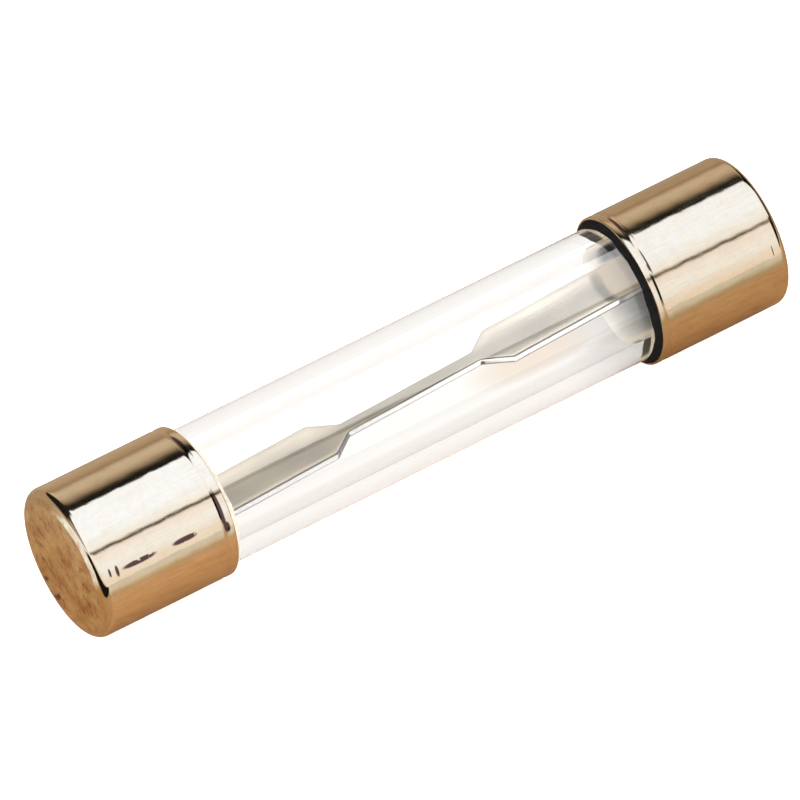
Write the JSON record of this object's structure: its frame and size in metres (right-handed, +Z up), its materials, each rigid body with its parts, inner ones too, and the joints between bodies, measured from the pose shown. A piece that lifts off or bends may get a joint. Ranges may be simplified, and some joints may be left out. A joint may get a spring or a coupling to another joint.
{
  "type": "cartridge fuse",
  "caption": "Glass-tube cartridge fuse with drawn brass end caps and a flat necked fuse strip soldered between them.",
  "frame": {"origin": "middle of the fuse, on its long axis", "axes": "+X along the long axis towards the right cap; +Z up; Y across the tube"},
  "size_m": [0.0318, 0.0064, 0.0064],
  "materials": {
    "brass": "polished",
    "glass": "clear",
    "strip_metal": "rolled",
    "solder": "frozen, dull",
    "cement": "matte"
  },
  "bodies": {
    "root": {"glass_tube": "glass", "left_cap": "brass", "right_cap": "brass", "fuse_strip": "strip_metal", "left_solder": "solder", "right_solder": "solder", "left_cement": "cement", "right_cement": "cement"}
  },
  "joints": []
}
